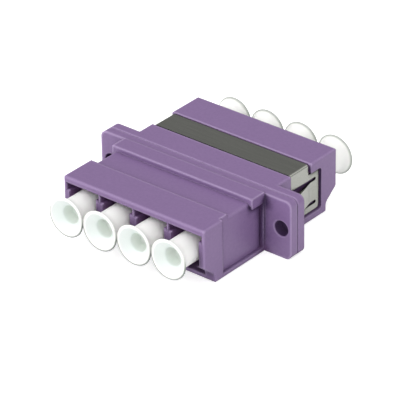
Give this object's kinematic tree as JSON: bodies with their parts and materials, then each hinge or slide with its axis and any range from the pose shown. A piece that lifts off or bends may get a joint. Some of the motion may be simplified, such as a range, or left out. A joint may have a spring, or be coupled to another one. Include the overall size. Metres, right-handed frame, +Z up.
{
  "type": "lc fibre adapter",
  "caption": "Flanged panel adapter that joins pairs of small-form fibre plugs end to end, with a folded steel spring clip and white pull-off dust caps.",
  "frame": {"origin": "middle of the bottom face, on the plane where the two halves of the flange meet", "axes": "+X across the ports, +Y along the plugs towards the end with the clip, +Z up"},
  "size_m": [0.035, 0.038, 0.0095],
  "materials": {
    "violet_plastic": "moulded violet plastic, fine satin",
    "spring_steel": "bright cold-rolled spring steel",
    "white_cap_plastic": "soft milky white moulding",
    "white_ceramic": "polished zirconia ceramic"
  },
  "bodies": {
    "adapter": {"front_housing": "violet_plastic", "rear_housing": "violet_plastic", "spring_clip": "spring_steel", "alignment_sleeve_1": "white_ceramic", "alignment_sleeve_2": "white_ceramic", "alignment_sleeve_3": "white_ceramic", "alignment_sleeve_4": "white_ceramic"},
    "front_cap_1": {"dust_cap_front_1": "white_cap_plastic"},
    "front_cap_2": {"dust_cap_front_2": "white_cap_plastic"},
    "front_cap_3": {"dust_cap_front_3": "white_cap_plastic"},
    "front_cap_4": {"dust_cap_front_4": "white_cap_plastic"},
    "rear_cap_1": {"dust_cap_rear_1": "white_cap_plastic"},
    "rear_cap_2": {"dust_cap_rear_2": "white_cap_plastic"},
    "rear_cap_3": {"dust_cap_rear_3": "white_cap_plastic"},
    "rear_cap_4": {"dust_cap_rear_4": "white_cap_plastic"}
  },
  "joints": [
    {"name": "front_cap_1_pull", "type": "slide", "parent": "adapter", "child": "front_cap_1", "axis": [0, -1, 0], "range_m": [0, 0.014]},
    {"name": "front_cap_2_pull", "type": "slide", "parent": "adapter", "child": "front_cap_2", "axis": [0, -1, 0], "range_m": [0, 0.014]},
    {"name": "front_cap_3_pull", "type": "slide", "parent": "adapter", "child": "front_cap_3", "axis": [0, -1, 0], "range_m": [0, 0.014]},
    {"name": "front_cap_4_pull", "type": "slide", "parent": "adapter", "child": "front_cap_4", "axis": [0, -1, 0], "range_m": [0, 0.014]},
    {"name": "rear_cap_1_pull", "type": "slide", "parent": "adapter", "child": "rear_cap_1", "axis": [0, 1, 0], "range_m": [0, 0.014]},
    {"name": "rear_cap_2_pull", "type": "slide", "parent": "adapter", "child": "rear_cap_2", "axis": [0, 1, 0], "range_m": [0, 0.014]},
    {"name": "rear_cap_3_pull", "type": "slide", "parent": "adapter", "child": "rear_cap_3", "axis": [0, 1, 0], "range_m": [0, 0.014]},
    {"name": "rear_cap_4_pull", "type": "slide", "parent": "adapter", "child": "rear_cap_4", "axis": [0, 1, 0], "range_m": [0, 0.014]}
  ]
}
